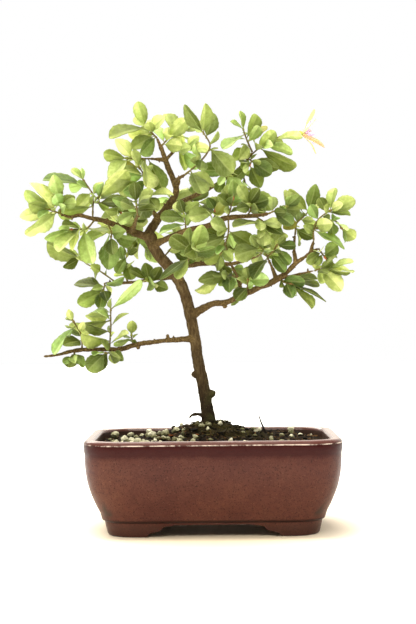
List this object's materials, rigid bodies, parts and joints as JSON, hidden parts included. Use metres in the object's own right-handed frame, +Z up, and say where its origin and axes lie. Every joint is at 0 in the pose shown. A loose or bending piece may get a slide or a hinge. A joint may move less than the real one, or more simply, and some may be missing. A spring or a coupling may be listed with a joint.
{
  "type": "lavender starflower bonsai",
  "caption": "Small flowering bonsai tree with open leafy branches and one star-shaped bloom, in a footed, glazed rectangular pot filled with gritty soil.",
  "frame": {"origin": "on the ground, under the middle of the whole object's bounding box; the pot's middle is 14.5 mm to the right of it and 6.2 mm in front of it", "axes": "+X to the right along the pot's long side as seen from the front, +Y away from the viewer, +Z up"},
  "size_m": [0.2118, 0.1574, 0.2717],
  "materials": {
    "glaze": "glossy, mottled",
    "screen": "matte",
    "soil": "rough",
    "bark": "rough",
    "dry_wood": "rough",
    "leaf": "satin",
    "stalk": "satin",
    "sepal": "satin",
    "petal": "satin",
    "stamen": "matte"
  },
  "bodies": {
    "root": {"pot": "glaze", "drain_screen_left": "screen", "drain_screen_right": "screen", "soil": "soil", "trunk": "bark", "dry_stick": "dry_wood", "flower_stalk": "stalk", "flower_sepals": "sepal", "flower_petals": "petal", "flower_stamens": "stamen", "shoot_low_left_end": "leaf", "shoot_low_left_upright": "leaf", "shoot_low_right_spur": "leaf", "shoot_low_left_sprig": "leaf", "shoot_low_left_inner": "leaf", "shoot_low_left_front": "leaf", "shoot_mid_left_upper": "leaf", "shoot_mid_left_riser": "leaf", "shoot_mid_left_end": "leaf", "shoot_mid_left_inner": "leaf", "shoot_left_end": "leaf", "shoot_left_lower_end": "leaf", "shoot_left_riser": "leaf", "shoot_left_inner_riser": "leaf", "shoot_left_hanging": "leaf", "shoot_front_left": "leaf", "shoot_upper_left": "leaf", "shoot_apex_left": "leaf", "shoot_apex_top_left": "leaf", "shoot_apex_top_right": "leaf", "shoot_apex_right": "leaf", "shoot_top_front": "leaf", "shoot_upper_right_top": "leaf", "shoot_upper_right_outer": "leaf", "shoot_upper_right_under": "leaf", "shoot_upper_right_inner": "leaf", "shoot_upper_right_low": "leaf", "shoot_right_end": "leaf", "shoot_right_upper": "leaf", "shoot_right_riser": "leaf", "shoot_right_middle": "leaf", "shoot_right_spur": "leaf", "shoot_right_hanging": "leaf", "shoot_right_lower": "leaf", "shoot_trunk": "leaf", "shoot_low_right_riser": "leaf", "shoot_low_right_tall": "leaf", "shoot_low_right_outer_top": "leaf", "shoot_low_right_tip": "leaf", "shoot_low_right_outer": "leaf", "shoot_low_right_under": "leaf", "shoot_low_right_inner": "leaf", "shoot_low_right_centre": "leaf", "shoot_mid_right_end": "leaf", "shoot_mid_right_under": "leaf", "shoot_mid_right_upper": "leaf", "shoot_front_right": "leaf", "shoot_back": "leaf", "shoot_back_left": "leaf"}
  },
  "joints": []
}
